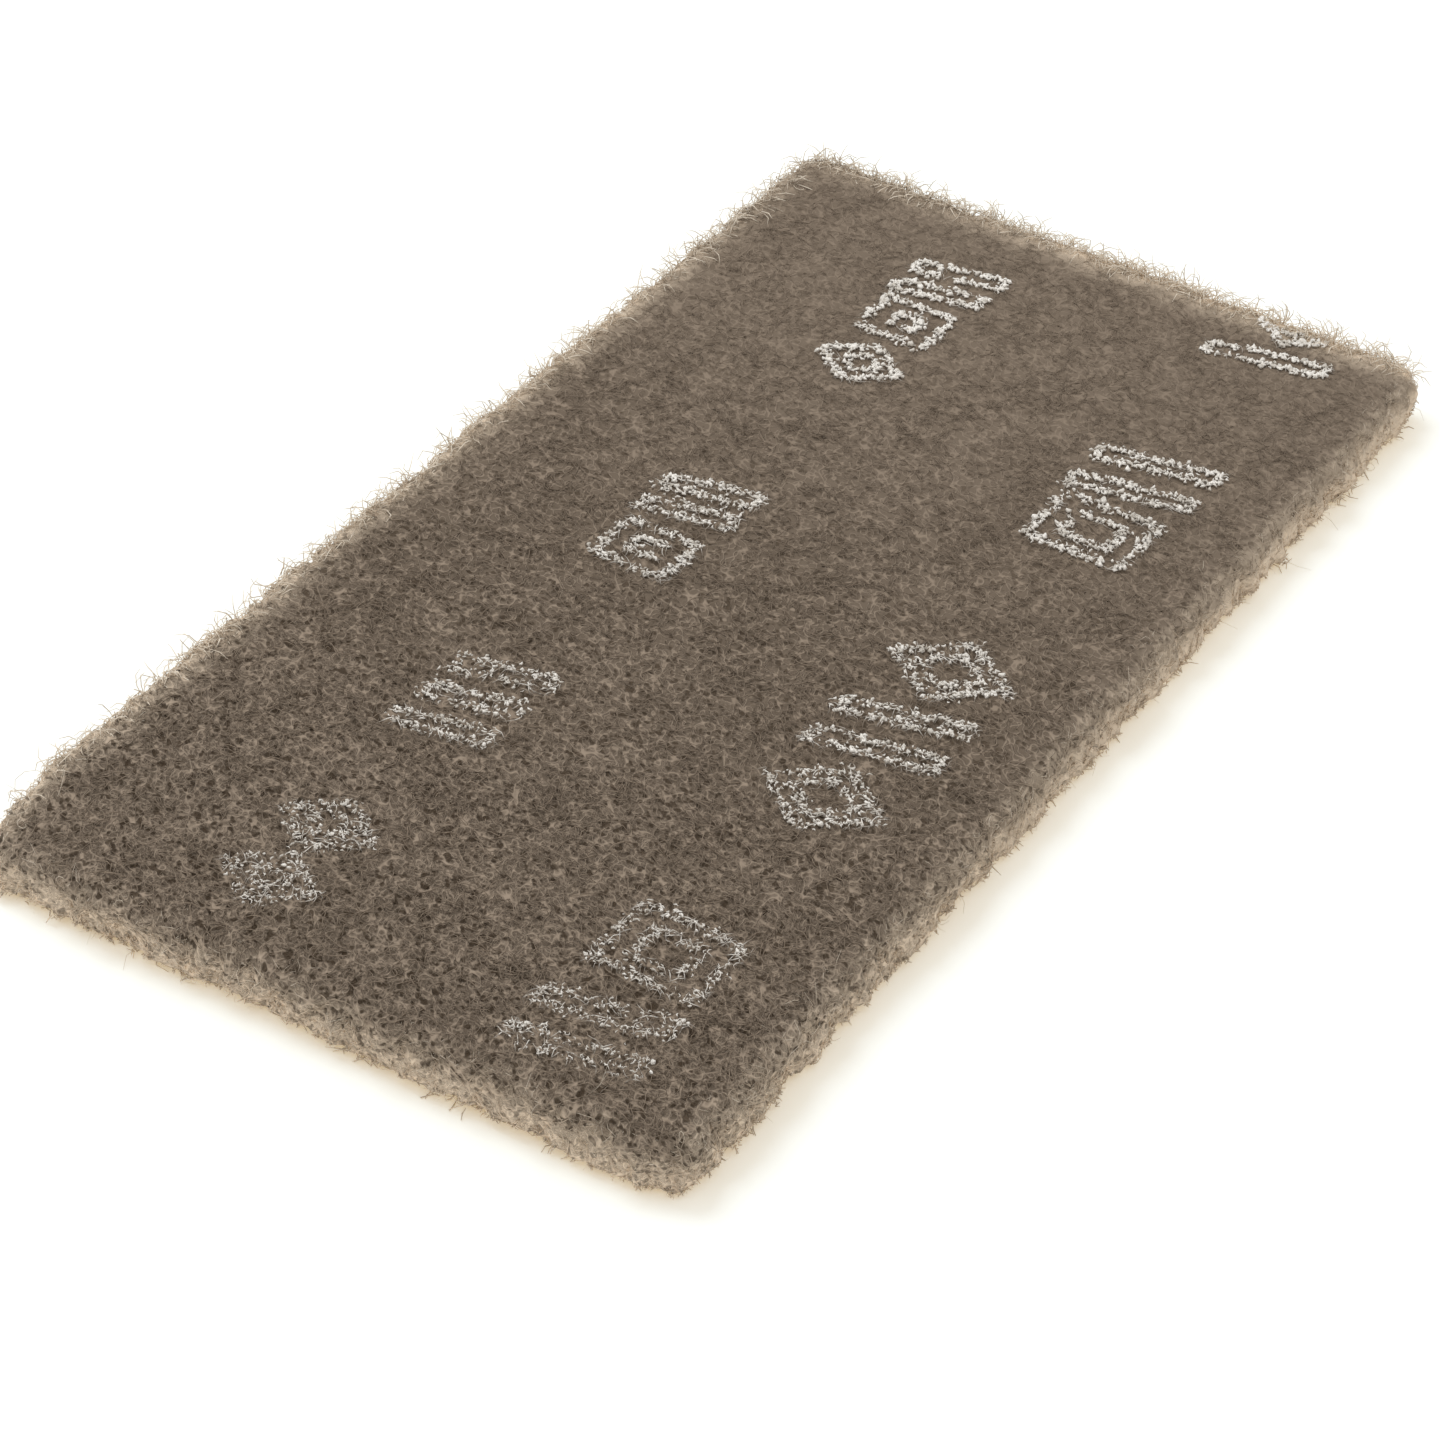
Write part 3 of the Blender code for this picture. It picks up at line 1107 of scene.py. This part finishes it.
class PAD_OT_stage(bpy.types.Operator):
    """Sets the floor, the lamp, the world and the camera"""

    bl_idname = "pad.stage"
    bl_label = "Stage"

    def execute(self, context):
        stage = context.scene.pad_stage
        self.floor()
        self.lamp(stage)
        self.world(stage)
        self.camera(stage)
        context.scene.view_settings.view_transform = "Standard"
        return {"FINISHED"}

    @staticmethod
    def seen_directly(tree):
        """1 where the camera, a gloss or a clear surface looks at it, and 0 for soft light."""
        path = node(tree, "ShaderNodeLightPath").outputs
        mirrored = maths(tree, "MAXIMUM", path["Is Glossy Ray"], path["Is Transmission Ray"])
        return maths(tree, "MAXIMUM", path["Is Camera Ray"], mirrored)

    def floor(self):
        """White paper that shows only the warm shadow beside the pad.

        Soft light meets plain paper with a little warmth. The camera sees a tinted one, whose glow
        leaves it white everywhere but in the shadow.
        """
        plain, warmth = (0.8, 0.8, 0.8), (0.20, 0.18, 0.15)
        tinted, glow = (0.735, 0.90, 1.03), (0.36, 0.235, 0.10)
        deselect_all()
        bpy.ops.mesh.primitive_plane_add(size=6, location=(0, 0, -0.02 * MM))
        floor = bpy.context.active_object
        floor.name = "floor"
        bpy.ops.object.transform_apply(location=True, rotation=True, scale=True)
        material, tree, shader = new_material("white_paper")
        tree.nodes.remove(shader)

        def paper(colour, light):
            matt = node(tree, "ShaderNodeBsdfDiffuse", {"Color": opaque(colour)}).outputs[0]
            lit = node(tree, "ShaderNodeEmission", {"Color": opaque(light)}).outputs[0]
            return node(tree, "ShaderNodeAddShader", {0: matt, 1: lit}).outputs[0]

        looks = {0: self.seen_directly(tree), 1: paper(plain, warmth), 2: paper(tinted, glow)}
        shown = node(tree, "ShaderNodeMixShader", looks).outputs[0]
        feed(tree, tree.nodes["Material Output"], {"Surface": shown})
        floor.data.materials.append(material)

    @staticmethod
    def aimed(data, place, towards, roll=0.0):
        """Puts a lamp or the camera in its place, looking towards a direction."""
        made = bpy.data.objects.new(data.name, data)
        made.location = place
        made.rotation_mode = "QUATERNION"
        made.rotation_quaternion = towards.to_track_quat("-Z", "Y") @ Quaternion((0, 0, 1), roll)
        bpy.context.scene.collection.objects.link(made)
        return made

    def lamp(self, stage):
        light = bpy.data.lights.new("key", "AREA")
        light.energy = stage.key_power
        light.size = stage.key_size
        place = Vector(stage.key_place)
        self.aimed(light, place, -place)

    def world(self, stage):
        world = bpy.data.worlds.new("studio")
        bpy.context.scene.world = world
        world.use_nodes = True
        tree = world.node_tree
        colour = mix(tree, self.seen_directly(tree), stage.ambient, (1, 1, 1))
        feed(tree, tree.nodes["Background"], {"Color": colour})

    def camera(self, stage):
        level = math.cos(stage.elevation)
        x, y = math.sin(stage.azimuth) * level, -math.cos(stage.azimuth) * level
        back = Vector((x, y, math.sin(stage.elevation)))
        lens = bpy.data.cameras.new("camera")
        lens.lens = stage.lens
        lens.sensor_width = 36
        lens.clip_start = 0.01
        place = Vector(stage.target) + stage.distance * back
        bpy.context.scene.camera = self.aimed(lens, place, -back, stage.roll)


class PAD_PT_panel(bpy.types.Panel):
    """Sidebar panel with the pad's settings and steps"""

    bl_idname = "PAD_PT_panel"
    bl_label = "Abrasive Pad"
    bl_space_type = "VIEW_3D"
    bl_region_type = "UI"
    bl_category = "Abrasive Pad"

    def draw(self, context):
        for group, step in SECTIONS:
            box = self.layout.box()
            if group:
                values = getattr(context.scene, group)
                for name in values.__annotations__:
                    box.prop(values, name)
            if step:
                box.operator(step)


SECTIONS = (
    ("pad_colours", None),
    ("pad_web", "pad.packed_web"),
    ("pad_fibres", "pad.skin_fibres"),
    (None, "pad.edge_fibres"),
    (None, "pad.under_fibres"),
    ("pad_print", "pad.marks"),
    ("pad_stage", "pad.stage"),
)
GROUPS = {
    "pad_web": PadWeb, "pad_fibres": PadFibres, "pad_print": PadPrint, "pad_colours": PadColours,
    "pad_stage": PadStage,
}
CLASSES = (
    *GROUPS.values(), PAD_OT_packed_web, PAD_OT_skin_fibres, PAD_OT_edge_fibres,
    PAD_OT_under_fibres, PAD_OT_marks, PAD_OT_stage, PAD_PT_panel,
)


def register():
    for kind in CLASSES:
        bpy.utils.register_class(kind)
    for name, kind in GROUPS.items():
        setattr(bpy.types.Scene, name, PointerProperty(type=kind))


def unregister():
    for name in GROUPS:
        delattr(bpy.types.Scene, name)
    for kind in reversed(CLASSES):
        bpy.utils.unregister_class(kind)


def main():
    register()
    bpy.ops.pad.stage()
    bpy.ops.pad.packed_web()
    bpy.ops.pad.skin_fibres()
    bpy.ops.pad.edge_fibres()
    bpy.ops.pad.under_fibres()
    bpy.ops.pad.marks()


if __name__ == "__main__":
    main()
